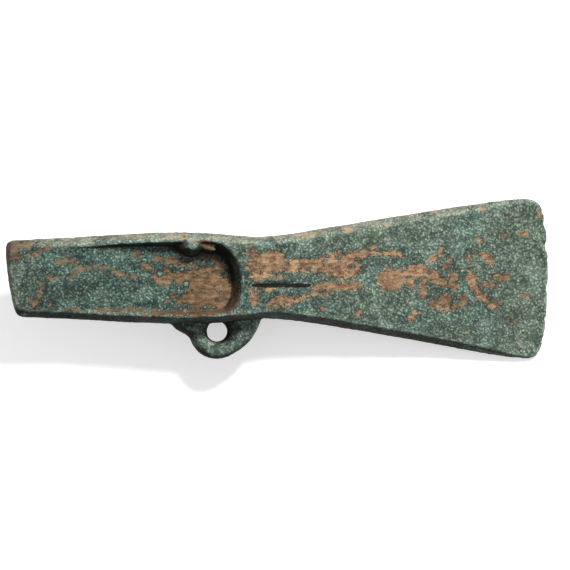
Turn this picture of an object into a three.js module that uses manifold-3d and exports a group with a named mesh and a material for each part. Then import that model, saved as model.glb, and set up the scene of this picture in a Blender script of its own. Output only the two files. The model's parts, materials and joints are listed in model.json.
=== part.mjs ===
// A looped palstave: a Bronze Age axe head cast in one piece, lying at rest.
// Millimetres, +Z up. The axe is shaped flat, in its own frame: x runs from the butt (-) to the cutting edge (+)
// with 0 at the stop ridge, y runs across with the loop at -y, and z = 0 is the seam of the two-part mould.
// At the end it is tipped on to the cutting edge and the flanges, which is how it lies on a table.
import * as THREE from "three";
import { mergeVertices } from "three/addons/utils/BufferGeometryUtils.js";
import Module from "manifold-3d";

const wasm = await Module();
wasm.setup();

// Lengths along the axe.
const haftLength = 70.2; // butt to stop ridge
const bladeLength = 91.8; // stop ridge to cutting edge

// Half widths across the axe, in plan.
const flangeHalf = 13.55; // at the swell of the flanges
const waistHalf = 12.1; // at the neck, just past the stop ridge
const waistPlace = 4.2;
const flare = 0.176; // how fast each side of the blade runs out
const flareBlend = 8.5; // length over which the neck turns into the flare
const flareEasing = 18; // length over which the flare eases off again before the edge
const easingPull = 0.0062; // how strongly it eases off, per mm
const edgeRounding = 9; // length over which the blade's corners are rounded
const buttRounding = 3.3;
const buttSlant = 0.143; // the butt is cut off askew
const edgeSlant = 0.012; // and so, barely, is the cutting edge

// Half thicknesses.
const septumHalf = 3.4; // the web between the two recesses
const stopHalf = 12.2;
const edgeHalf = 0.5;

// The flanges beside each recess.
const flangeThick = 2.6; // from the side of the axe to the recess, at the rim
const stopLip = 2.5; // from the rim of a recess to the crest of the stop ridge
const stopCurve = 9.5; // length over which a recess closes to the stop ridge
const wallLean = 1.5; // how far the foot of a wall stands inside its rim
const sideBevel = 1.5; // how far the seam stands out past the shoulder
const shoulder = 1.3; // radius from the side to the face
const crown = 0.45; // swell of the blade's faces

// The side loop.
const hole = { x: -8.35, y: -15.65, radius: 3.1 };
const strap = { thick: 5.15, halfDeep: 3.1 };

const lerp = THREE.MathUtils.lerp;
const clamp = THREE.MathUtils.clamp;

// A smooth curve of one value along the axe, through the given [place, value] pairs.
function curveThrough(pairs) {
  const places = pairs.map((pair) => pair[0]);
  const values = pairs.map((pair) => pair[1]);
  const curve = new THREE.CubicInterpolant(places, values, 1, new Float64Array(1));
  return (x) => curve.evaluate(clamp(x, places[0], places.at(-1)))[0];
}

// Height of the flange tops, and past the stop ridge of the blade's faces, above the seam.
const halfThickness = curveThrough([
  [-haftLength, 2.7],
  [-0.88 * haftLength, 3.6],
  [-0.71 * haftLength, 4.7],
  [-0.55 * haftLength, 6.1],
  [-0.38 * haftLength, 8.3],
  [-0.2 * haftLength, 10.7],
  [-0.07 * haftLength, 12.0],
  [0, stopHalf],
  [0.035 * bladeLength, 11.6],
  [0.075 * bladeLength, 10.8],
  [0.22 * bladeLength, 9.25],
  [0.44 * bladeLength, 6.75],
  [0.66 * bladeLength, 4.25],
  [0.84 * bladeLength, 2.25],
  [0.93 * bladeLength, 1.25],
  [bladeLength, edgeHalf],
]);

const haftHalfWidth = curveThrough([
  [-haftLength, 11.35],
  [-0.77 * haftLength, 12.1],
  [-0.45 * haftLength, 13.25],
  [-0.26 * haftLength, flangeHalf],
  [-0.1 * haftLength, 13.1],
  [waistPlace, waistHalf],
]);

// The middle line bows a little to the plain side along the blade.
const bow = curveThrough([
  [-haftLength, 0],
  [-0.5 * haftLength, 0.2],
  [0, 0.2],
  [0.12 * bladeLength, 0.5],
  [0.35 * bladeLength, 0.7],
  [0.75 * bladeLength, 0.35],
  [bladeLength, -0.1],
]);

function halfWidth(x) {
  if (x < waistPlace) return haftHalfWidth(x);
  const past = x - waistPlace;
  const eased = Math.max(0, x - bladeLength + flareEasing);
  return waistHalf + flare * (Math.hypot(past, flareBlend) - flareBlend) - easingPull * eased ** 2;
}

// The share of the full width that is left at x, once the ends are rounded.
function endRounding(x) {
  const intoEdge = clamp((x - bladeLength + edgeRounding) / edgeRounding, 0, 1);
  const intoButt = clamp((buttRounding - haftLength - x) / buttRounding, 0, 1);
  return (1 - intoEdge ** 5) ** 0.4 - (1 - Math.cbrt(1 - intoButt ** 3)) * (buttRounding / 11);
}

// A closed surface over rings of points, each ring joined to the next, with both ends closed to their middles.
function loft(rings) {
  const count = rings[0].length;
  const points = rings.flat();
  const indices = [];
  for (let r = 0; r + 1 < rings.length; r++) {
    for (let i = 0; i < count; i++) {
      const [a, b] = [r * count + i, r * count + ((i + 1) % count)];
      indices.push(a, b, b + count, a, b + count, a + count);
    }
  }
  for (const [ring, start, outward] of [
    [rings[0], 0, false],
    [rings.at(-1), (rings.length - 1) * count, true],
  ]) {
    const middle = ring.reduce((sum, p) => sum.add(p), new THREE.Vector3()).divideScalar(count);
    const centre = points.push(middle) - 1;
    for (let i = 0; i < count; i++) {
      const [a, b] = [start + i, start + ((i + 1) % count)];
      indices.push(...(outward ? [a, b, centre] : [b, a, centre]));
    }
  }
  const geometry = new THREE.BufferGeometry().setFromPoints(points);
  geometry.setIndex(indices);
  return geometry;
}

function solid(geometry) {
  geometry.deleteAttribute("normal");
  geometry.deleteAttribute("uv");
  const merged = mergeVertices(geometry, 1e-4);
  const vertProperties = merged.attributes.position.array;
  const triVerts = new Uint32Array(merged.index.array);
  const made = new wasm.Manifold(new wasm.Mesh({ numProp: 3, vertProperties, triVerts }));
  if (made.volume() <= 0) throw new Error("a shape is inside out");
  return made;
}

// One quarter of a cross-section, from the seam at the side to the middle of the face.
function quarterSection(half, thick) {
  const radius = Math.min(shoulder, 0.5 * thick);
  const bevel = Math.min(sideBevel, 0.5 * thick);
  const flat = half - bevel - radius;
  const drop = Math.min(crown, 0.12 * thick);
  const points = [
    [half, 0],
    [half - 0.3 * bevel, 0.5 * (thick - radius)],
  ];
  for (const turn of [0, 0.33, 0.67, 1]) {
    const angle = (turn * Math.PI) / 2;
    points.push([flat + radius * Math.cos(angle), thick - drop - radius * (1 - Math.sin(angle))]);
  }
  for (const share of [0.66, 0.33, 0]) points.push([flat * share, thick - drop * share ** 2]);
  return points;
}

// The whole cross-section at x, going round from the plain side over the upper face.
function crossSection(x) {
  const half = halfWidth(x) * endRounding(x);
  const quarter = quarterSection(half, halfThickness(x));
  const mirrored = quarter.toReversed();
  const outline = [
    ...quarter,
    ...mirrored.slice(1).map(([y, z]) => [-y, z]),
    ...quarter.slice(1).map(([y, z]) => [-y, -z]),
    ...mirrored.slice(1, -1).map(([y, z]) => [y, -z]),
  ];
  const towardsEdge = clamp(x / bladeLength, 0, 1);
  const towardsButt = clamp((-x / haftLength - 0.7) / 0.3, 0, 1);
  const slant = edgeSlant * towardsEdge - buttSlant * towardsButt;
  return outline.map(([y, z]) => new THREE.Vector3(x + slant * y, y + bow(x), z));
}

// The axe as it would be with neither recess nor loop.
function blank() {
  const places = [];
  for (const turn of [0, 0.12, 0.3, 0.55]) places.push(-haftLength + buttRounding * turn);
  for (let x = -haftLength + buttRounding; x < -2; x += 4.2) places.push(x);
  for (const x of [-2, 0, 1.6, 3.2, 5, 7]) places.push(x);
  for (let x = 10; x < bladeLength - edgeRounding; x += 6.4) places.push(x);
  for (const turn of [0, 0.3, 0.5, 0.65, 0.76, 0.85, 0.91, 0.95, 0.975, 0.99, 0.998]) {
    places.push(bladeLength - edgeRounding * (1 - turn));
  }
  return solid(loft(places.map(crossSection)));
}

// The rim of a recess, counter-clockwise from the butt end of the loop side's flange.
// Each point carries the direction that leads out of the recess.
function recessRim(upperRound, lowerRound) {
  const rim = [];
  const inside = (x) => halfWidth(x) - flangeThick;
  const straight = [];
  const bendStart = -stopLip - stopCurve;
  for (let x = -haftLength - 4; x < bendStart - 1; x += 5.1) straight.push(x);
  for (const x of straight) rim.push({ x, y: bow(x) - inside(x), out: new THREE.Vector2(0, -1) });
  const bends = 30;
  const half = inside(bendStart);
  for (let i = 0; i <= bends; i++) {
    const angle = Math.PI * (i / bends - 0.5);
    const power = 2 / (angle > 0 ? upperRound : lowerRound);
    const along = Math.abs(Math.cos(angle)) ** power;
    const across = Math.sign(angle) * Math.abs(Math.sin(angle)) ** power;
    const out = new THREE.Vector2(along ** (2 / power - 1) / stopCurve, 0);
    out.y = (Math.sign(across) * Math.abs(across) ** (2 / power - 1)) / half;
    rim.push({ x: bendStart + stopCurve * along, y: bow(bendStart) + half * across, out: out.normalize() });
  }
  for (const x of straight.toReversed()) rim.push({ x, y: bow(x) + inside(x), out: new THREE.Vector2(0, 1) });
  return rim;
}

// The space of one recess, above the septum: [how far outside the rim, how high between septum and rim].
function recess(upperRound, lowerRound) {
  const levels = [
    [-wallLean, 0],
    [-0.7 * wallLean, 0.08],
    [-0.42 * wallLean, 0.35],
    [-0.2 * wallLean, 0.8],
    [0.25, 1],
    [1, 1.35],
  ];
  const rim = recessRim(upperRound, lowerRound);
  const rings = levels.map(([outside, share]) =>
    rim.map(({ x, y, out }) => {
      const rise = Math.max(halfThickness(x) - septumHalf, 0.6);
      const z = septumHalf + rise * share + (share > 1 ? 1 : 0);
      return new THREE.Vector3(x + out.x * outside, y + out.y * outside, z);
    }),
  );
  return solid(loft(rings));
}

// A bead of oval section laid along a level line. At each point, side points to its left; width and height are
// half sizes.
function bead(points, sides = 10) {
  const rings = points.map(({ at, side, width, height }) =>
    Array.from({ length: sides }, (_, k) => {
      const angle = (2 * Math.PI * k) / sides;
      return at
        .clone()
        .addScaledVector(side, width * Math.cos(angle))
        .add(new THREE.Vector3(0, 0, height * Math.sin(angle)));
    }),
  );
  return solid(loft(rings));
}

const acrossAxe = new THREE.Vector3(0, 1, 0);

// The loop: a strap bent round the hole, its two feet spreading into the side of the axe.
function loop() {
  const points = [];
  const reach = 60; // degrees that each foot runs on past level, into the axe
  for (let turn = -reach; turn <= 180 + reach; turn += 8) {
    const toButt = Math.max(0, 18 - turn) / 18;
    const toBlade = Math.max(0, turn - 115) / 65;
    const spread = Math.min(6, 2.6 * toButt ** 2.5) + Math.min(7, 3.6 * toBlade ** 2);
    const thick = strap.thick + spread;
    const middle = hole.radius + thick / 2;
    const angle = THREE.MathUtils.degToRad(180 + turn);
    const side = new THREE.Vector3(-Math.cos(angle), -Math.sin(angle), 0);
    const at = new THREE.Vector3(hole.x, hole.y, 0).addScaledVector(side, -middle);
    points.push({ at, side, width: thick / 2, height: strap.halfDeep + 0.35 * spread });
  }
  return bead(points, 16);
}

// The low midrib below the stop ridge on the upper face, dying out along the blade.
function midrib() {
  const [start, end, y] = [-0.8, 23, -0.45];
  const points = [0, 0.1, 0.3, 0.5, 0.7, 0.85, 1].map((share) => {
    const x = lerp(start, end, share);
    const sunk = 0.2 + 0.9 * share ** 2 + 0.9 * (1 - Math.min(1, share / 0.15)) ** 2;
    const at = new THREE.Vector3(x, y + bow(x) + 0.5 * share, halfThickness(x) - sunk);
    return { at, side: acrossAxe, width: lerp(1.5, 0.7, share), height: 1.05 };
  });
  return bead(points, 12);
}

// The sharp furrow along the loop side of the midrib.
function furrow() {
  const [start, end, y] = [1.2, 18, -2.4];
  const points = [0, 0.12, 0.3, 0.5, 0.7, 0.88, 1].map((share) => {
    const x = lerp(start, end, share);
    const body = Math.sin(Math.PI * share) ** 0.5 + 0.08;
    const at = new THREE.Vector3(x, y + bow(x) + 0.35 * share, halfThickness(x));
    return { at, side: acrossAxe, width: 0.55 * body, height: 1.15 * body };
  });
  return bead(points, 4);
}

// A lump that the casting left in the recess, filling the foot of the plain side's flange.
function castingLump() {
  const ball = new THREE.SphereGeometry(1, 16, 10);
  ball.scale(4.2, 4.4, 7.4).translate(-16.6, 11.2, septumHalf);
  return solid(ball);
}

// A short ledge half way up the wall where the recess turns to the stop ridge.
function ledge() {
  const ball = new THREE.SphereGeometry(1, 14, 8);
  ball.scale(3, 1.5, 0.9).rotateZ(-0.4).translate(-12, 9.75, septumHalf + 4.7);
  return solid(ball);
}

function palstave() {
  const reverse = new THREE.Matrix4().makeScale(1, 1, -1);
  const below = recess(2.3, 2.3).transform(reverse.elements);
  const whole = blank();
  return whole
    .add(loop())
    .subtract(recess(2, 3.2))
    .subtract(below)
    .add(midrib())
    .subtract(furrow())
    .add(castingLump().intersect(whole))
    .add(ledge());
}

// The angle that tips the axe until its cutting edge and the lower flanges stand on one level. The blade between
// them is slightly hollow, so it touches nothing.
function restTilt(geometry) {
  const place = geometry.attributes.position;
  let slope = 0;
  for (let i = 0; i < place.count; i++) {
    const run = bladeLength - place.getX(i);
    if (run > bladeLength / 2) slope = Math.max(slope, (-edgeHalf - place.getZ(i)) / run);
  }
  return Math.atan(slope);
}

function meshOf(made, name, material) {
  const { numVert, numProp, vertProperties, triVerts } = made.getMesh();
  const positions = new Float32Array(numVert * 3);
  for (let i = 0; i < numVert; i++) {
    positions.set(vertProperties.subarray(i * numProp, i * numProp + 3), i * 3);
  }
  const geometry = new THREE.BufferGeometry();
  geometry.setAttribute("position", new THREE.BufferAttribute(positions, 3));
  geometry.setIndex(new THREE.BufferAttribute(triVerts, 1));
  geometry.computeVertexNormals();
  const mesh = new THREE.Mesh(geometry, material);
  mesh.name = name;
  return mesh;
}

const bronze = new THREE.MeshStandardMaterial({ color: 0x667265, roughness: 0.72, metalness: 0.35 });
const axeHead = meshOf(palstave(), "axe_head", bronze);

// Lying at rest, with the origin under the middle of its box.
const lying = new THREE.Group();
lying.rotation.y = restTilt(axeHead.geometry);
lying.add(axeHead);

const part = new THREE.Group();
part.add(lying);
const box = new THREE.Box3().setFromObject(part, true);
const middle = box.getCenter(new THREE.Vector3());
lying.position.set(-middle.x, -middle.y, -box.min.z);

export default part;
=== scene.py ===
import json
import math

import bmesh
import bpy
import numpy as np
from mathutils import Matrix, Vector, noise
from mathutils.bvhtree import BVHTree


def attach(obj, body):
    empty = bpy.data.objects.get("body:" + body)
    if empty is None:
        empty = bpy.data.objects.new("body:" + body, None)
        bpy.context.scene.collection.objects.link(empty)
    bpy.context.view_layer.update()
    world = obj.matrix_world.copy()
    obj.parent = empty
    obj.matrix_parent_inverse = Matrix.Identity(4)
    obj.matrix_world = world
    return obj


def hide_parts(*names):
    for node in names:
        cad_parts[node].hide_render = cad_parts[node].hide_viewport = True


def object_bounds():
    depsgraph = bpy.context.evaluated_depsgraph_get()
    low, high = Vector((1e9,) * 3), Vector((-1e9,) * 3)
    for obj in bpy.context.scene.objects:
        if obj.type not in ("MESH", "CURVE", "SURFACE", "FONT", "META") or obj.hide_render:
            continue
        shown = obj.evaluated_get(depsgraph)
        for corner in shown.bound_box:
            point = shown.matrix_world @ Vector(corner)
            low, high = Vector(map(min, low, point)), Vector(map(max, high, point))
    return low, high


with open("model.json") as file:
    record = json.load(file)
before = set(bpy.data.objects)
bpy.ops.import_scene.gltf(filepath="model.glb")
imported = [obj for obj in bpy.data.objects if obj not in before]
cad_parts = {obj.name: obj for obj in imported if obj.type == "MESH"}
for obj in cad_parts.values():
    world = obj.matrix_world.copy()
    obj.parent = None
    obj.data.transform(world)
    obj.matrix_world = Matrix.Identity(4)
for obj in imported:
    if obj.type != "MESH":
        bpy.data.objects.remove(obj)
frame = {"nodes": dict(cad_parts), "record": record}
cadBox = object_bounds()
mm = 0.001


def sRGB(red, green, blue):  # a colour as a paint program gives it, 0 to 255, made linear for the shader
    values = [channel / 255 for channel in (red, green, blue)]
    return (*[v / 12.92 if v <= 0.04045 else ((v + 0.055) / 1.055) ** 2.4 for v in values], 1)


# The axe's own frame: x from butt to cutting edge with 0 at the stop, y across, z out of the upper face.
axeFrame = {
    "seatToStop": 38,  # mm from the haft seats' marks to the stop ridge
    "seatAside": 1.3,  # mm that those marks stand off the middle line
    "bladeLength": 91.8,  # mm from the stop ridge to the cutting edge
}


def axeAxes():  # rows are the axe's x, y and z, then the stop's place, all in the frame's metres
    seats = {mount["name"]: mount for mount in frame["record"]["mounts"]}
    up = Vector(seats["haft_seat_upper"]["axis"]).normalized()
    across = Vector((0, 1, 0))
    along = across.cross(up)
    marks = [Vector(seats[name]["pos_m"]) for name in ("haft_seat_upper", "haft_seat_lower")]
    middle = (marks[0] + marks[1]) / 2
    stop = middle + along * axeFrame["seatToStop"] * mm - across * axeFrame["seatAside"] * mm
    return np.array([along, across, up]), np.array(stop)


axes, stopPlace = axeAxes()


def toAxe(points):  # from the frame's metres to the axe's millimetres
    return (points - stopPlace) @ axes.T / mm


# Camera, light and floor.
studio = {
    "cameraHeight": 1.5,
    "cameraReach": 20,
    "sensorWidth": 36,  # mm
    "viewWidth": 170.1 * mm,  # what the camera takes in, at the axe
    "aimX": 1.9 * mm,
    "aimY": -1.9 * mm,
    "keyTurn": 70,  # degrees round from +X, where the key light stands
    "keyLift": 52,
    "keyDistance": 0.9,
    "keySize": 0.16,
    "keyPower": 9.5,
    "skyStrength": 0.5,
    "floorSize": 4,
    "floorColour": sRGB(250, 250, 250),
    "floorRoughness": 0.9,
    "floorGlow": 0.4,
}


def makeStudio():
    scene = bpy.context.scene
    scene.view_settings.view_transform = "Standard"
    camera = bpy.data.objects.new("camera", bpy.data.cameras.new("camera"))
    camera.data.sensor_width = studio["sensorWidth"]
    camera.data.lens = studio["sensorWidth"] * studio["cameraHeight"] / studio["viewWidth"]
    camera.data.clip_end = studio["cameraReach"]
    middleHeight = (cadBox[0][2] + cadBox[1][2]) / 2
    camera.location = (studio["aimX"], studio["aimY"], middleHeight + studio["cameraHeight"])
    scene.collection.objects.link(camera)
    scene.camera = camera

    lamp = bpy.data.lights.new("key", "AREA")
    lamp.shape = "DISK"
    lamp.size = studio["keySize"]
    lamp.energy = studio["keyPower"]
    key = bpy.data.objects.new("key", lamp)
    turn, lift = math.radians(studio["keyTurn"]), math.radians(studio["keyLift"])
    away = Vector((math.cos(lift) * math.cos(turn), math.cos(lift) * math.sin(turn), math.sin(lift)))
    key.location = away * studio["keyDistance"]
    key.rotation_euler = away.to_track_quat("Z", "Y").to_euler()
    scene.collection.objects.link(key)

    world = bpy.data.worlds.new("sky")
    scene.world = world
    world.use_nodes = True
    background = world.node_tree.nodes["Background"]
    background.inputs["Color"].default_value = (1, 1, 1, 1)
    background.inputs["Strength"].default_value = studio["skyStrength"]

    shape = bmesh.new()
    bmesh.ops.create_grid(shape, x_segments=1, y_segments=1, size=studio["floorSize"] / 2)
    mesh = bpy.data.meshes.new("floor")
    shape.to_mesh(mesh)
    shape.free()
    floor = bpy.data.objects.new("floor", mesh)
    scene.collection.objects.link(floor)
    paint = bpy.data.materials.new("floor")
    paint.use_nodes = True
    shader = paint.node_tree.nodes["Principled BSDF"]
    shader.inputs["Base Color"].default_value = studio["floorColour"]
    shader.inputs["Roughness"].default_value = studio["floorRoughness"]
    shader.inputs["Emission Color"].default_value = (1, 1, 1, 1)
    shader.inputs["Emission Strength"].default_value = studio["floorGlow"]
    mesh.materials.append(paint)
    print("studio: camera, key light, sky and floor")


# The cast body: a fine skin over the CAD solid, worn and crusted.
casting = {
    "weld": 0.002 * mm,  # points of the solid nearer to each other than this become one
    "voxel": 0.435 * mm,
    "roundings": 4,  # smoothing passes that soften the solid's edges
    "flattenings": 40,  # passes that make the even shape which ridges stand out from
    # sizes and heights from here on are in mm
    "swell": 0.2,  # slow unevenness of the casting
    "swellSize": 9,
    "crustRise": 0.16,  # how high the crust stands over the bare metal
    "grainRise": 0.15,
    "grainSize": 1.3,
    "spotRise": 0.2,
    "pitDepth": 0.05,  # pits in the bare metal
    "pitSize": 2.2,
    "nicks": 0.9,  # how deep the cutting edge is nicked
    "nickSize": 2.4,
    "nickZone": (86, 91),  # ahead of the stop, where the nicks begin and where they are full
    "patchSize": 11,  # bare patches placed at random
    "raggedness": 0.45,  # how far the border of the bare metal wanders
    "ragSize": 2.4,
    "fieldReach": 6.0,  # how far round a patch its nearness is known
    # rays that find the corners where soil and painted shade go
    "occlusionRays": 18,
    "occlusionReach": 8,
    "occlusionLift": 0.15,  # where the rays start, over the skin
    "occlusionFade": 0.7,  # how much less a wall at full reach counts than one close by
    "occlusionPasses": 3,  # smoothing passes
    "litWallShadeLift": 0.8,  # share of the dirt and painted shade taken away where the stop's wall is lit
}

# Bare metal on the upper face, as seen from above: middle x, y, half length, half width, turn in degrees.
# Millimetres from the middle of the axe as it lies.
barePatches = [
    # the butt's corner and the haft by it
    (-78.9, 8.2, 3.3, 1.9, -82), (-75.6, 9.7, 2.1, 1.0, 0), (-71.1, 8.1, 3.0, 0.6, 20),
    (-63.1, 5.1, 3.3, 0.7, 10), (-61.0, 5.5, 1.5, 0.9, 0), (-58.9, 2.8, 1.5, 1.0, 0),
    (-60.7, 1.0, 1.3, 0.9, 40), (-67.0, 0.4, 2.4, 0.7, -10), (-70.5, -3.7, 3.6, 0.6, 68),
    (-72.0, -7.0, 1.3, 1.0, -30), (-67.7, -7.8, 0.8, 0.8, 0), (-60.1, -9.3, 1.3, 0.4, 0),
    (-42.3, 7.8, 1.6, 0.5, 0), (-39.2, 3.7, 1.3, 0.9, -40), (-51.7, 3.1, 1.5, 0.4, -20),
    (-47.5, 1.6, 1.8, 0.4, -15), (-50.2, -0.1, 1.2, 0.4, 0), (-45.1, 0.7, 1.5, 0.3, -10),
    # the lit foot of the lower flange
    (-49.6, -9.4, 3.6, 0.4, 0), (-43.6, -9.1, 1.2, 0.4, 0), (-26.9, -10.3, 12.0, 0.7, 1),
    # floor of the recess
    (-21.5, -1.3, 5.7, 4.8, 0), (-26.0, 0.1, 6.6, 2.4, 0), (-23.0, -6.4, 7.2, 2.7, 0),
    (-32.9, 0.7, 4.8, 2.1, 0), (-31.4, 5.2, 2.7, 1.0, 5), (-35.6, 5.8, 1.5, 0.7, 0),
    (-27.2, 4.3, 3.0, 0.9, 0), (-17.9, 3.1, 2.1, 1.8, -40), (-20.9, 7.3, 2.4, 1.0, -10),
    (-20.9, 9.9, 2.4, 0.9, -8), (-32.0, -5.5, 1.5, 0.9, 40), (-15.4, -4.5, 5.0, 3.2, 90),
    # by the stop ridge and beside the rib
    (-2.7, 4.9, 6.0, 3.3, 0), (-7.5, 4.9, 4.2, 1.5, 90), (-3.3, 0.4, 4.5, 0.9, 0),
    (6.9, 3.7, 6.0, 2.2, 4), (-4.5, -3.1, 3.6, 0.5, 3), (-7.3, -5.8, 2.1, 1.3, 90),
    (0.0, -7.0, 3.9, 1.3, 5), (4.2, -6.1, 6.3, 0.9, 14),
    # along the middle of the blade
    (19.1, 6.4, 9.9, 1.3, 9), (28.1, 8.8, 0.9, 0.9, 0), (33.2, 7.3, 3.9, 1.2, 0),
    (18.2, 3.4, 6.0, 3.3, 0), (33.8, -0.4, 4.5, 3.3, 0), (17.3, -2.5, 7.5, 1.3, 0),
    (12.0, -4.6, 2.7, 0.8, 0), (39.8, 2.7, 3.0, 1.6, 0), (39.8, -1.0, 2.7, 1.8, 0),
    (41.8, 2.4, 2.4, 1.9, 0), (47.2, 0.1, 3.9, 1.5, -37), (42.9, -2.5, 3.0, 0.8, 90),
    (52.3, -0.7, 2.7, 1.5, 80),
    # small places on the blade
    (23.5, -10.2, 1.0, 1.0, 0), (39.9, -11.4, 1.8, 1.1, 38), (13.2, -8.7, 1.3, 0.5, 0),
    (45.9, 6.0, 1.2, 0.5, 75), (48.6, 8.1, 1.0, 0.7, 70), (51.3, 5.1, 1.6, 0.4, -85),
    (49.6, 4.0, 1.2, 0.6, 0), (56.5, 6.4, 1.2, 0.3, -82), (40.7, 6.1, 0.7, 0.4, 90),
    (62.5, 6.3, 2.4, 0.8, -28), (67.0, 0.6, 2.5, 0.8, -12), (62.8, -2.1, 2.7, 0.9, 0),
    (57.5, 0.6, 1.6, 1.5, 0), (59.0, -3.1, 2.1, 0.9, -53), (61.3, -6.1, 2.1, 1.0, -40),
    (64.3, -7.9, 1.5, 1.2, -45), (46.6, -7.6, 1.5, 1.3, 0), (49.6, -6.1, 1.8, 1.6, -60),
    (50.8, -8.5, 2.7, 1.0, 0), (55.3, -6.7, 1.9, 0.8, 80), (73.4, 13.2, 1.2, 0.5, 0),
    (78.9, 19.4, 0.7, 0.7, 0), (74.3, -5.1, 0.9, 0.4, -10), (60.4, 11.8, 0.9, 0.5, 0),
    (67.6, 13.0, 0.9, 0.6, 0),
]

# Crust left standing inside the bare metal.
crustIslands = [
    # in the recess
    (-30.2, 3.1, 2.4, 0.9, 0), (-26.9, -8.5, 1.5, 0.9, 0), (-21.5, 5.1, 2.7, 0.8, -5),
    (-31.4, -2.5, 1.2, 0.9, 0), (-35.0, -5.5, 3.6, 2.4, 25),
    # the rib and the furrow's far bank
    (7.8, 0.9, 4.2, 1.3, 5), (-1.5, -0.6, 5.4, 0.8, 2), (3.0, -4.3, 6.0, 1.1, 2),
    (-4.5, 8.8, 1.8, 0.7, -10), (2.4, 4.9, 0.9, 0.6, 0),
    # on the blade
    (26.6, 4.3, 2.4, 1.8, 90), (31.4, 5.5, 3.6, 1.2, 0), (35.9, 3.7, 2.4, 0.9, -15),
    (26.6, 0.4, 2.2, 1.2, 80), (15.8, -0.6, 0.9, 0.5, 0), (19.7, -1.2, 0.7, 0.4, 0),
    (13.5, 4.9, 0.6, 0.6, 0), (17.6, 5.5, 0.6, 0.4, 0), (21.8, 3.7, 0.7, 0.4, 20),
    (37.4, -3.1, 1.8, 0.7, 90), (41.2, -1.6, 1.5, 0.9, 90), (38.6, 4.6, 1.2, 0.6, 0),
    (52.3, -7.3, 0.7, 0.7, 0), (45.1, 2.5, 0.6, 0.6, 0),
]

# The dirt and painted shade in the furrow, and where the stop's wall is lit, so the painted shade there is
# taken away.
furrowLines = [(0.8, -2.0, 8.2, 0.35, 0)]
litWallPlaces = [(-15.5, -7.5, 7.5, 5.0, 0)]

# Round corrosion spots in the recess: x, y, radius.
roundSpots = [
    (-35.3, 1.3, 1.1), (-27.5, -1.6, 1.1), (-26.0, 4.6, 0.8), (-28.7, 2.8, 1.0), (-32.0, 3.7, 0.8),
    (-21.8, -8.5, 0.7), (-17.9, -3.7, 0.6),
]


def fineCopy(source):
    shape = bmesh.new()
    shape.from_mesh(source.data)
    bmesh.ops.remove_doubles(shape, verts=shape.verts, dist=casting["weld"])
    mesh = bpy.data.meshes.new("axe_head_cast")
    shape.to_mesh(mesh)
    shape.free()
    piece = bpy.data.objects.new("axe_head_cast", mesh)
    bpy.context.scene.collection.objects.link(piece)
    remesh = piece.modifiers.new("skin", "REMESH")
    remesh.mode = "VOXEL"
    remesh.voxel_size = casting["voxel"]
    remesh.use_smooth_shade = True
    bpy.context.view_layer.update()
    graph = bpy.context.evaluated_depsgraph_get()
    ready = bpy.data.meshes.new_from_object(piece.evaluated_get(graph))
    piece.modifiers.clear()
    piece.data = ready
    bpy.data.meshes.remove(mesh)
    print("fine skin:", len(ready.vertices), "points")
    return piece


def softened(points, edges, passes, strength=0.5):  # each point moves towards the middle of its neighbours
    count = len(points)
    ends = np.concatenate([edges[:, 0], edges[:, 1]])
    others = np.concatenate([edges[:, 1], edges[:, 0]])
    degree = np.bincount(ends, minlength=count)[:, None]
    points = points.copy()
    columns = range(points.shape[1])
    for _ in range(passes):
        near = [np.bincount(ends, weights=points[others, column], minlength=count) for column in columns]
        points += strength * (np.stack(near, axis=1) / degree - points)
    return points


def readPoints(mesh):
    points = np.empty(len(mesh.vertices) * 3)
    mesh.vertices.foreach_get("co", points)
    return points.reshape(-1, 3)


def writePoints(mesh, points):
    mesh.vertices.foreach_set("co", points.ravel())
    mesh.update()


def readNormals(mesh):
    normals = np.empty(len(mesh.vertices) * 3)
    mesh.vertex_normals.foreach_get("vector", normals)
    return normals.reshape(-1, 3)


def layNoise(points, size, seed, octaves=2):  # smooth noise, about -1 to 1, with lumps about size mm across
    shift = Vector((seed * 13.7, seed * 7.1, seed * 3.3))
    basis = "PERLIN_ORIGINAL"
    heights = [noise.fractal(Vector(p) + shift, 1, 2, octaves, noise_basis=basis) for p in points / size]
    return np.array(heights)


def ramp(values, low, high):  # 0 below low, 1 above high, smooth between
    t = np.clip((values - low) / (high - low), 0, 1)
    return t * t * (3 - 2 * t)


def patchField(plan, patches):  # how far inside the nearest patch, in mm, negative outside
    field = np.full(len(plan), -casting["fieldReach"])
    for x, y, length, width, turn in patches:
        angle = math.radians(turn)
        dx, dy = plan[:, 0] - x, plan[:, 1] - y
        u = dx * math.cos(angle) + dy * math.sin(angle)
        v = dy * math.cos(angle) - dx * math.sin(angle)
        reach = np.hypot(u / length, v / width)
        steepness = np.hypot(u / length**2, v / width**2) / np.maximum(reach, 1e-6)
        field = np.maximum(field, (1 - reach) / np.maximum(steepness, 1 / length))
    return field


def soilAndShadeIn(points, normals, mesh):  # 0 in the open, 1 deep in a corner: soil, and painted shade where walls hem the skin in
    tree = BVHTree.FromPolygons([v.co for v in mesh.vertices], [p.vertices for p in mesh.polygons])
    golden = math.pi * (3 - math.sqrt(5))
    rays = []
    for i in range(casting["occlusionRays"]):
        lift = math.sqrt(1 - (i + 0.5) / casting["occlusionRays"])
        spread = math.sqrt(1 - lift * lift)
        rays.append(Vector((spread * math.cos(golden * i), spread * math.sin(golden * i), lift)))
    reach = casting["occlusionReach"] * mm
    soil = np.zeros(len(points))
    for i, (point, normal) in enumerate(zip(points, normals)):
        turn = Vector(normal).to_track_quat("Z", "Y").to_matrix()
        start = Vector(point) + Vector(normal) * casting["occlusionLift"] * mm
        blocked = 0
        for ray in rays:
            hit = tree.ray_cast(start, turn @ ray, reach)
            if hit[3] is not None:
                blocked += 1 - casting["occlusionFade"] * hit[3] / reach
        soil[i] = blocked / len(rays)
    return soil


def addAttribute(mesh, name, values):
    layer = mesh.attributes.new(name, "FLOAT", "POINT")
    layer.data.foreach_set("value", values.astype(np.float32))


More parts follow.
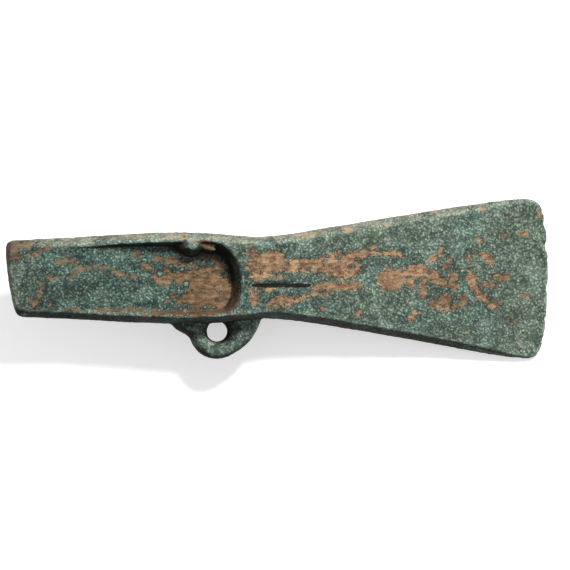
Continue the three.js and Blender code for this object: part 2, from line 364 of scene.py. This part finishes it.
def makeCasting():
    piece = fineCopy(frame["nodes"]["axe_head"])
    mesh = piece.data
    edges = np.empty(len(mesh.edges) * 2, int)
    mesh.edges.foreach_get("vertices", edges)
    edges = edges.reshape(-1, 2)

    points = softened(readPoints(mesh), edges, casting["roundings"])
    writePoints(mesh, points)
    normals = readNormals(mesh)
    print("edges rounded")

    plan = points[:, :2] / mm
    places = toAxe(points)
    facing = normals @ axes.T
    upper = ramp(facing[:, 2], -0.2, 0.25) * ramp(places[:, 2], -0.5, 0.5)

    smooth = softened(points, edges, casting["flattenings"])
    proud = np.einsum("ij,ij->i", points - smooth, normals) / mm  # over 0 on a ridge, under 0 in a hollow
    # soil and painted shade: darker where walls hem the skin in
    soil = softened(soilAndShadeIn(points, normals, mesh)[:, None], edges, casting["occlusionPasses"])[:, 0]
    # dirt and painted shade along the furrow under the rib
    furrowDirtAndShade = ramp(patchField(plan, furrowLines), -0.35, 0.05) * ramp(facing[:, 2], 0, 0.3)
    soil = np.maximum(soil, np.where(places[:, 2] > 0, furrowDirtAndShade, 0))
    # where the stop's wall is lit, the painted shade and dirt are taken away
    litWall = ramp(patchField(plan, litWallPlaces), -1.5, 1.5) * ramp(facing[:, 2], 0, 0.3)
    soil *= 1 - casting["litWallShadeLift"] * np.where(places[:, 2] > 0, litWall, 0)
    print("hollows found")

    # over 0 where the metal is bare: placed patches on the upper face, random ones everywhere else
    placed = np.minimum(patchField(plan, barePatches), -patchField(plan, crustIslands))
    scattered = 6 * (layNoise(places, casting["patchSize"], 3, 3) - 0.44)
    bare = np.where(upper > 0.5, np.maximum(placed, scattered - 2.4), scattered)
    bare = np.clip(bare + casting["raggedness"] * layNoise(places, casting["ragSize"], 1, 3), -4, 4)

    # distance from the middle of the nearest round spot, in radii, and 9 far from all of them
    spots = np.full(len(places), 9.0)
    for x, y, radius in roundSpots:
        distance = np.hypot(plan[:, 0] - x, plan[:, 1] - y) / radius
        spots = np.minimum(spots, np.where(upper > 0.5, distance, 9))

    crusted = 1 - ramp(bare, -0.3, 0.3)
    grains = layNoise(places, casting["grainSize"], 5, 2)
    pits = ramp(layNoise(places, casting["pitSize"], 6), 0.2, 0.6)
    nicks = np.minimum(layNoise(places, casting["nickSize"], 8, 3), 0)
    rise = casting["swell"] * layNoise(places, casting["swellSize"], 4, 3)
    rise += crusted * (casting["crustRise"] + casting["grainRise"] * grains)
    rise += casting["spotRise"] * (1 - ramp(spots, 0.3, 1.0))
    rise -= casting["pitDepth"] * (1 - crusted) * pits
    rise *= ramp(np.abs(places[:, 2]), 0.1, 1.5) * 0.6 + 0.4  # less where the metal is thin
    rise += casting["nicks"] * nicks * ramp(places[:, 0], *casting["nickZone"])
    risen = points + normals * rise[:, None] * mm
    risen[:, 2] = np.maximum(risen[:, 2], 0)  # nothing sinks below what the axe lies on
    writePoints(mesh, risen)
    print("crust raised")

    addAttribute(mesh, "bare", bare)
    addAttribute(mesh, "spot", spots)
    addAttribute(mesh, "soil", soil)
    addAttribute(mesh, "proud", proud)
    addAttribute(mesh, "along", places[:, 0] / axeFrame["bladeLength"])
    addAttribute(mesh, "facingAcross", facing[:, 1])
    addAttribute(mesh, "facingAlong", facing[:, 0])
    for polygon in mesh.polygons:
        polygon.use_smooth = True
    return piece


# Shader maths: a wire is one output of a node, and an expression on wires adds the nodes for it.
class Wire:
    def __init__(self, finish, socket):
        self.finish, self.socket = finish, socket

    def math(self, operation, *values):
        return self.finish.add("ShaderNodeMath", {"operation": operation}, dict(enumerate(values)))

    def __add__(self, other):
        return self.math("ADD", self, other)

    def __sub__(self, other):
        return self.math("SUBTRACT", self, other)

    def __rsub__(self, other):
        return self.math("SUBTRACT", other, self)

    def __mul__(self, other):
        return self.math("MULTIPLY", self, other)

    def atMost(self, other):
        return self.math("MINIMUM", self, other)

    __radd__, __rmul__ = __add__, __mul__


class Finish:
    def __init__(self, name):
        self.material = bpy.data.materials.new(name)
        self.material.use_nodes = True
        self.nodes = self.material.node_tree.nodes
        self.links = self.material.node_tree.links
        self.nodes.clear()

    def add(self, kind, settings=None, sockets=None, output=0):
        node = self.nodes.new(kind)
        for name, value in (settings or {}).items():
            if name == "stops":
                self.setStops(node.color_ramp, value)
            else:
                setattr(node, name, value)
        for name, value in (sockets or {}).items():
            if isinstance(value, Wire):
                self.links.new(value.socket, node.inputs[name])
            else:
                node.inputs[name].default_value = value
        return Wire(self, node.outputs[output]) if node.outputs else None

    def setStops(self, colourRamp, stops):
        while len(colourRamp.elements) < len(stops):
            colourRamp.elements.new(1)
        for element, (position, colour) in zip(colourRamp.elements, stops):
            element.position, element.color = position, colour

    def attribute(self, name):
        return self.add("ShaderNodeAttribute", {"attribute_name": name}, output="Fac")

    def step(self, value, low, high):  # 0 at low, 1 at high
        settings = {"interpolation_type": "SMOOTHSTEP"}
        return self.add("ShaderNodeMapRange", settings, {"Value": value, "From Min": low, "From Max": high})

    def colours(self, value, *stops):
        return self.add("ShaderNodeValToRGB", {"stops": stops}, {"Fac": value})

    def sway(self, value, amount):  # what a value from 0 to 1 adds as it goes either side of its middle
        return (value - 0.5) * amount

    def blend(self, share, first, second):  # the first colour at 0, the second at 1
        return self.add("ShaderNodeMix", {"data_type": "RGBA"}, {0: share, 6: first, 7: second}, output=2)

    def noise(self, place, size, detail=2.0, roughness=0.5, output="Fac"):
        sockets = {"Vector": place, "Scale": 1 / size, "Detail": detail, "Roughness": roughness}
        return self.add("ShaderNodeTexNoise", {"noise_dimensions": "3D"}, sockets, output)

    def grains(self, place, size, output="Distance"):
        return self.add("ShaderNodeTexVoronoi", {}, {"Vector": place, "Scale": 1 / size}, output)


# The finish of corroded bronze. Sizes are in mm.
patina = {
    "driftSize": 1.6,  # the grains are shifted about by this noise
    "drift": 1.1,
    "grainSize": 0.8,
    "fineGrainSize": 0.42,
    "fineSize": 0.5,  # mottling, from the finest to the broadest
    "mediumSize": 2.2,
    "blotchSize": 4.2,
    "broadSize": 9,
    "vastSize": 26,
    "stainSize": 5,
    "tanSize": 6,
    "streakSize": 0.8,
    "streakSquash": 0.28,  # the less, the longer the streaks along the axe
    "crustStops": (0.05, 0.42, 0.9),  # tones of the dark, middle and light colours
    "metalStops": (0.2, 0.5, 0.8),
    "haftDark": sRGB(36, 49, 43),
    "haftMiddle": sRGB(78, 96, 85),
    "haftLight": sRGB(134, 156, 138),
    "bladeDark": sRGB(54, 66, 56),
    "bladeMiddle": sRGB(98, 114, 100),
    "bladeLight": sRGB(156, 170, 150),
    "blueDark": sRGB(28, 50, 50),
    "blueMiddle": sRGB(68, 98, 92),
    "blueLight": sRGB(134, 162, 150),
    # crust on ridges: worn pale and painted as a highlight
    "paleDark": sRGB(92, 112, 102),
    "paleMiddle": sRGB(134, 154, 140),
    "paleLight": sRGB(180, 194, 178),
    "paleShare": 0.85,
    "stainDark": sRGB(46, 42, 32),
    "stainMiddle": sRGB(96, 88, 70),
    "stainLight": sRGB(140, 132, 106),
    "stainShare": 0.55,
    # the plain side's crust: bleached, and lighter as painted light where it faces the key light
    "bleachedDark": sRGB(96, 94, 78),
    "bleachedMiddle": sRGB(134, 134, 116),
    "bleachedLight": sRGB(172, 174, 158),
    "bleachedShare": 0.6,
    "bareDark": sRGB(62, 46, 30),
    "bareMiddle": sRGB(104, 81, 57),
    "bareLight": sRGB(144, 111, 78),
    "warmDark": sRGB(82, 63, 44),
    "warmMiddle": sRGB(126, 99, 73),
    "warmLight": sRGB(174, 139, 105),
    "tanShare": 0.6,
    # the dark rim where crust meets bare metal: dark patina and painted shadow
    "rim": sRGB(22, 32, 28),
    "rimShare": 0.6,
    "ringShare": 0.85,
    "heartShare": 0.65,
    # dark soil, laid on as soil and as painted shade in hollows, on the loop side and on the butt end
    "soil": sRGB(20, 14, 9),
    "hollowSoilAndShade": 0.35,
    "loopSideSoilAndShade": 0.82,
    "buttEndShade": 0.6,
    "mostSoilAndShade": 0.96,
    "crustRoughness": 0.86,
    "metalSmoothness": 0.24,  # how much less rough the bare metal is
    "soilRoughness": 0.1,  # and how much rougher the soil
    "metallic": 0.12,  # of the bare metal, which is dull
    "specular": 0.25,
    "grainBump": 1.0,
    "bumpHeight": 0.3 * mm,
}


def makePatina():
    f = Finish("patinated_bronze")
    coordinates = f.add("ShaderNodeTexCoord", output="Object")
    place = f.add("ShaderNodeVectorMath", {"operation": "SCALE"}, {0: coordinates, "Scale": 1 / mm})
    drift = f.noise(place, patina["driftSize"], 2, output="Color")
    centred = f.add("ShaderNodeVectorMath", {"operation": "SUBTRACT"}, {0: drift, 1: (0.5, 0.5, 0.5)})
    warp = f.add("ShaderNodeVectorMath", {"operation": "SCALE"}, {0: centred, "Scale": patina["drift"]})
    warped = f.add("ShaderNodeVectorMath", {"operation": "ADD"}, {0: place, 1: warp})

    bareField = f.attribute("bare")
    soilAndShadeField = f.attribute("soil")
    proud = f.attribute("proud")
    spot = f.attribute("spot")
    along = f.attribute("along")
    aside = f.attribute("facingAcross")
    ahead = f.attribute("facingAlong")

    # grains of the crust: pale domes with dark between them, each grain of its own tone
    fine = f.noise(place, patina["fineSize"], 3, 0.65)
    medium = f.noise(place, patina["mediumSize"], 3, 0.6)
    broad = f.noise(place, patina["broadSize"], 3, 0.55)
    vast = f.noise(place, patina["vastSize"], 2)
    reach = f.grains(warped, patina["grainSize"])
    grainColour = f.grains(warped, patina["grainSize"], "Color")
    grainTone = f.add("ShaderNodeSeparateColor", {}, {"Color": grainColour}, "Red")
    dome = 1 - f.step(reach, 0.15, 0.7)
    smallReach = f.grains(warped, patina["fineGrainSize"])
    smallDome = 1 - f.step(smallReach, 0.1, 0.7)
    blotch = f.noise(warped, patina["blotchSize"], 4, 0.6)
    tone = f.sway(dome, 0.2 + 0.45 * grainTone) + f.sway(smallDome, 0.22) + f.sway(grainTone, 0.16)
    tone = tone + f.sway(fine, 0.9) + f.sway(medium, 0.6) + f.sway(blotch, 0.8) + f.sway(broad, 0.4) + 0.42

    def ladder(name, value=tone, stops=patina["crustStops"]):  # dark, middle and light colour by tone
        colours = [patina[name + shade] for shade in ("Dark", "Middle", "Light")]
        return f.colours(value, *zip(stops, colours))

    # crust: greyer on the haft, greener on the blade, bluer round bare metal, paler on ridges as wear and
    # as painted highlight, with stains
    haftToBlade = f.step(along + f.sway(vast, 0.3), -0.1, 0.35)
    crust = f.blend(haftToBlade, ladder("haft"), ladder("blade"))
    nearBare = f.step(bareField, -2.6, -0.6)
    offTheEdge = 1 - f.step(along, 0.75, 0.95)
    blueShare = (f.step(broad, 0.5, 0.62) * 0.35 + nearBare * 0.35).atMost(0.6) * offTheEdge
    crust = f.blend(blueShare, crust, ladder("blue"))
    wornAndHighlit = f.step(proud + f.sway(medium, 0.3), 0.1, 0.45)
    crust = f.blend(wornAndHighlit * patina["paleShare"], crust, ladder("pale"))
    stain = f.step(f.noise(warped, patina["stainSize"], 4, 0.65), 0.55, 0.72)
    byButt = f.step(along, -0.66, -0.78)
    byEdge = f.step(along, 0.8, 1.0)
    stain = (stain * patina["stainShare"] + byButt * 0.35 + byEdge * stain * 0.4).atMost(0.75)
    crust = f.blend(stain, crust, ladder("stain"))

    # the plain side, which faces the key light: bleached and lighter as painted light, with tan places
    plainSide = f.step(aside, 0.1, 0.4)
    bleached = f.step(aside + f.sway(blotch, 2.6) + f.sway(fine, 0.6), 0.45, 0.75) * plainSide
    crust = f.blend(bleached * patina["bleachedShare"], crust, ladder("bleached"))
    tanSide = f.step(aside, 0.15, 0.4) * f.step(f.noise(warped, patina["tanSize"], 4, 0.6), 0.56, 0.62)
    crust = f.blend(tanSide * patina["tanShare"], crust, patina["warmLight"])

    # bare metal: tan and brown, streaked along the axe
    squash = (patina["streakSquash"], 1, 1)
    stretched = f.add("ShaderNodeVectorMath", {"operation": "MULTIPLY"}, {0: warped, 1: squash})
    streak = f.noise(stretched, patina["streakSize"], 4, 0.65)
    metalTone = 0.5 + f.sway(streak, 1.5) + f.sway(fine, 0.9) + f.sway(medium, 0.9) + f.sway(broad, 0.6)
    tan, warm = [ladder(name, metalTone, patina["metalStops"]) for name in ("bare", "warm")]
    metal = f.blend(f.step(along, -0.14, 0.0), tan, warm)

    # the border runs round the grains, and single grains stand past it
    border = bareField + f.sway(grainTone, 1.5) + (reach - 0.42) * 1.1
    border = border + f.sway(medium, 2.4) + f.sway(fine, 0.9)
    shown = f.step(border, -0.06, 0.06)
    # a dark band along the crust's edge next to bare metal: dark patina and a painted shadow under the
    # crust's edge
    rim = f.step(border, -0.5, -0.08) * (1 - shown)
    colour = f.blend(rim * patina["rimShare"], crust, patina["rim"])
    stained = f.step(medium + f.sway(fine, 0.5), 0.56, 0.7) * 0.45 + (1 - f.step(along, -0.4, -0.3)) * 0.2
    metal = f.blend(stained, metal, patina["haftMiddle"])
    colour = f.blend(shown, colour, metal)

    # round spots: a pale middle in a dark ring
    spotEdge = spot + f.sway(fine, 1.2) + f.sway(medium, 0.8)
    ring = f.step(spotEdge, 1.15, 0.9)
    heart = f.step(spotEdge, 0.7, 0.3)
    colour = f.blend(ring * patina["ringShare"], colour, patina["blueDark"])
    colour = f.blend(heart * patina["heartShare"], colour, patina["blueLight"])

    # soil and painted shade in the hollows; the loop side darker with soil and painted shade, the butt end
    # darker with painted shade, as both face away from the key light
    deep = f.step(soilAndShadeField + f.sway(medium, 0.15), 0.13, 0.32)
    hollow = f.step(proud, -0.12, -0.5)
    # loop side darker: soil and painted shade, as it faces away from the key light
    loopSide = f.step(aside, -0.4, -0.8)
    # butt end darker: painted shade, as the end faces away from the key light
    buttEnd = f.step(ahead + f.sway(medium, 0.6), -0.1, -0.45)
    dirtAndShade = deep + hollow * patina["hollowSoilAndShade"] + loopSide * patina["loopSideSoilAndShade"]
    dirtAndShade = (dirtAndShade + buttEnd * patina["buttEndShade"]).atMost(patina["mostSoilAndShade"])
    colour = f.blend(dirtAndShade, colour, patina["soil"])

    grainHeight = dome * 0.5 + smallDome * 0.25 + fine * 0.5 + 0.3
    height = grainHeight * (1 - shown) + shown * (0.3 * streak + 0.15 * fine)
    sockets = {"Strength": patina["grainBump"], "Distance": patina["bumpHeight"], "Height": height}
    bump = f.add("ShaderNodeBump", {}, sockets)
    roughness = patina["crustRoughness"] - shown * patina["metalSmoothness"]
    roughness = roughness + dirtAndShade * patina["soilRoughness"]
    sockets = {
        "Base Color": colour,
        "Metallic": shown * patina["metallic"],
        "Roughness": roughness,
        "Specular IOR Level": patina["specular"],
        "Normal": bump,
    }
    shader = f.add("ShaderNodeBsdfPrincipled", {}, sockets)
    f.add("ShaderNodeOutputMaterial", {}, {"Surface": shader})
    print("finish: patinated bronze,", len(f.nodes), "nodes")
    return f.material


makeStudio()
axeHead = makeCasting()
axeHead.data.materials.clear()
axeHead.data.materials.append(makePatina())
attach(axeHead, "root")
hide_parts("axe_head")
